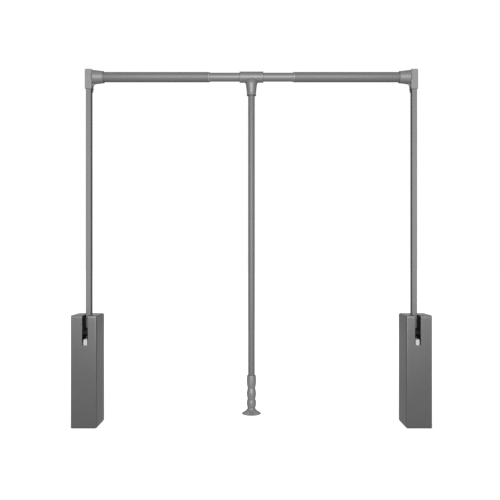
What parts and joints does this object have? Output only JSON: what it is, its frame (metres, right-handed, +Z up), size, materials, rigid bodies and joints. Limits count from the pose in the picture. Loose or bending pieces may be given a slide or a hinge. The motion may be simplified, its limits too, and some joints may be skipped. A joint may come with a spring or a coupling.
{
  "type": "pull down closet rod",
  "caption": "Pull-down wardrobe rail with slotted side housings, sprung swing arms, a telescopic hanging tube and a swivelling pull rod with a grip.",
  "frame": {"origin": "centre of the underside of the two housings, midway between the wall faces", "axes": "+X towards the right wall, +Y back into the wardrobe, +Z up"},
  "size_m": [0.862, 0.08, 0.8679],
  "materials": {
    "housing_plastic": "fine-grained mid-grey moulding",
    "silver_paint": "satin silver-grey powder coat",
    "cast_silver": "satin silver-grey paint on a zinc casting",
    "bright_tube": "satin anodised",
    "grip_plastic": "soft-sheen grey moulding",
    "zinc_plated_steel": "bright zinc plating",
    "dip_coated_steel": "thin dark dip coat",
    "spring_steel": "oiled spring wire",
    "white_nylon": "smooth natural nylon",
    "dark_nylon": "smooth dark nylon",
    "rubber": "plain rubber",
    "dark_screw": "dark oxide"
  },
  "bodies": {
    "left_housing": {"left_chassis": "zinc_plated_steel", "left_cover": "housing_plastic", "left_cover_screw_1": "dark_screw", "left_cover_screw_2": "dark_screw", "left_pivot_pin": "zinc_plated_steel", "left_inner_spacer": "dark_nylon", "left_outer_spacer": "dark_nylon", "left_buffer": "white_nylon", "left_buffer_pin": "zinc_plated_steel", "left_spring_bridge": "zinc_plated_steel", "left_stop_washer": "rubber", "left_lift_spring": "spring_steel"},
    "left_draw": {"left_draw_bar": "zinc_plated_steel", "left_spring_washer": "zinc_plated_steel", "left_draw_nut": "zinc_plated_steel"},
    "left_arm": {"left_arm_foot": "dip_coated_steel", "left_crank_pin": "zinc_plated_steel", "left_foot_rivet_1": "zinc_plated_steel", "left_foot_rivet_2": "zinc_plated_steel", "left_arm_tube": "silver_paint", "left_elbow": "cast_silver", "left_elbow_screw": "dark_screw", "left_outer_rail": "silver_paint", "left_rail_end_ring": "grip_plastic"},
    "centre_rail": {"inner_rail": "bright_tube", "locating_collar": "dark_nylon"},
    "handle": {"t_connector": "cast_silver", "left_swivel_bush": "dark_nylon", "right_swivel_bush": "dark_nylon", "pull_rod": "silver_paint", "handle_screw": "dark_screw", "grip": "grip_plastic"},
    "right_arm": {"right_arm_foot": "dip_coated_steel", "right_crank_pin": "zinc_plated_steel", "right_foot_rivet_1": "zinc_plated_steel", "right_foot_rivet_2": "zinc_plated_steel", "right_arm_tube": "silver_paint", "right_elbow": "cast_silver", "right_elbow_screw": "dark_screw", "right_outer_rail": "silver_paint", "right_rail_end_ring": "grip_plastic"},
    "right_housing": {"right_chassis": "zinc_plated_steel", "right_cover": "housing_plastic", "right_cover_screw_1": "dark_screw", "right_cover_screw_2": "dark_screw", "right_pivot_pin": "zinc_plated_steel", "right_inner_spacer": "dark_nylon", "right_outer_spacer": "dark_nylon", "right_buffer": "white_nylon", "right_buffer_pin": "zinc_plated_steel", "right_spring_bridge": "zinc_plated_steel", "right_stop_washer": "rubber", "right_lift_spring": "spring_steel"},
    "right_draw": {"right_draw_bar": "zinc_plated_steel", "right_spring_washer": "zinc_plated_steel", "right_draw_nut": "zinc_plated_steel"}
  },
  "joints": [
    {"name": "left_arm_lift", "type": "hinge", "parent": "left_housing", "child": "left_arm", "pos_m": [-0.397, 0, 0.225], "axis": [1, 0, 0], "range_deg": [0, 95], "stiffness_Nm_per_rad": 12, "springref_deg": -28.65},
    {"name": "left_draw_slide", "type": "slide", "parent": "left_housing", "child": "left_draw", "axis": [0, 0, 1], "range_m": [0, 0.03254], "deforming": ["left_lift_spring"]},
    {"name": "left_rail_slide", "type": "slide", "parent": "left_arm", "child": "centre_rail", "axis": [1, 0, 0], "range_m": [-0.071, 0.129]},
    {"name": "handle_swing", "type": "hinge", "parent": "centre_rail", "child": "handle", "pos_m": [0, 0, 0.85], "axis": [1, 0, 0], "continuous": true},
    {"name": "right_rail_slide", "type": "slide", "parent": "centre_rail", "child": "right_arm", "axis": [1, 0, 0], "range_m": [-0.071, 0.129]},
    {"name": "right_arm_lift", "type": "hinge", "parent": "right_arm", "child": "right_housing", "pos_m": [0.397, 0, 0.225], "axis": [1, 0, 0], "range_deg": [-95, 0]},
    {"name": "right_draw_slide", "type": "slide", "parent": "right_housing", "child": "right_draw", "axis": [0, 0, 1], "range_m": [0, 0.03254], "deforming": ["right_lift_spring"]}
  ],
  "couplings": [
    {"joint": "left_draw_slide", "follows": "left_arm_lift", "m_per_rad": 0.019565},
    {"joint": "right_arm_lift", "follows": "left_arm_lift", "ratio": -1},
    {"joint": "right_draw_slide", "follows": "left_arm_lift", "m_per_rad": 0.019565}
  ]
}
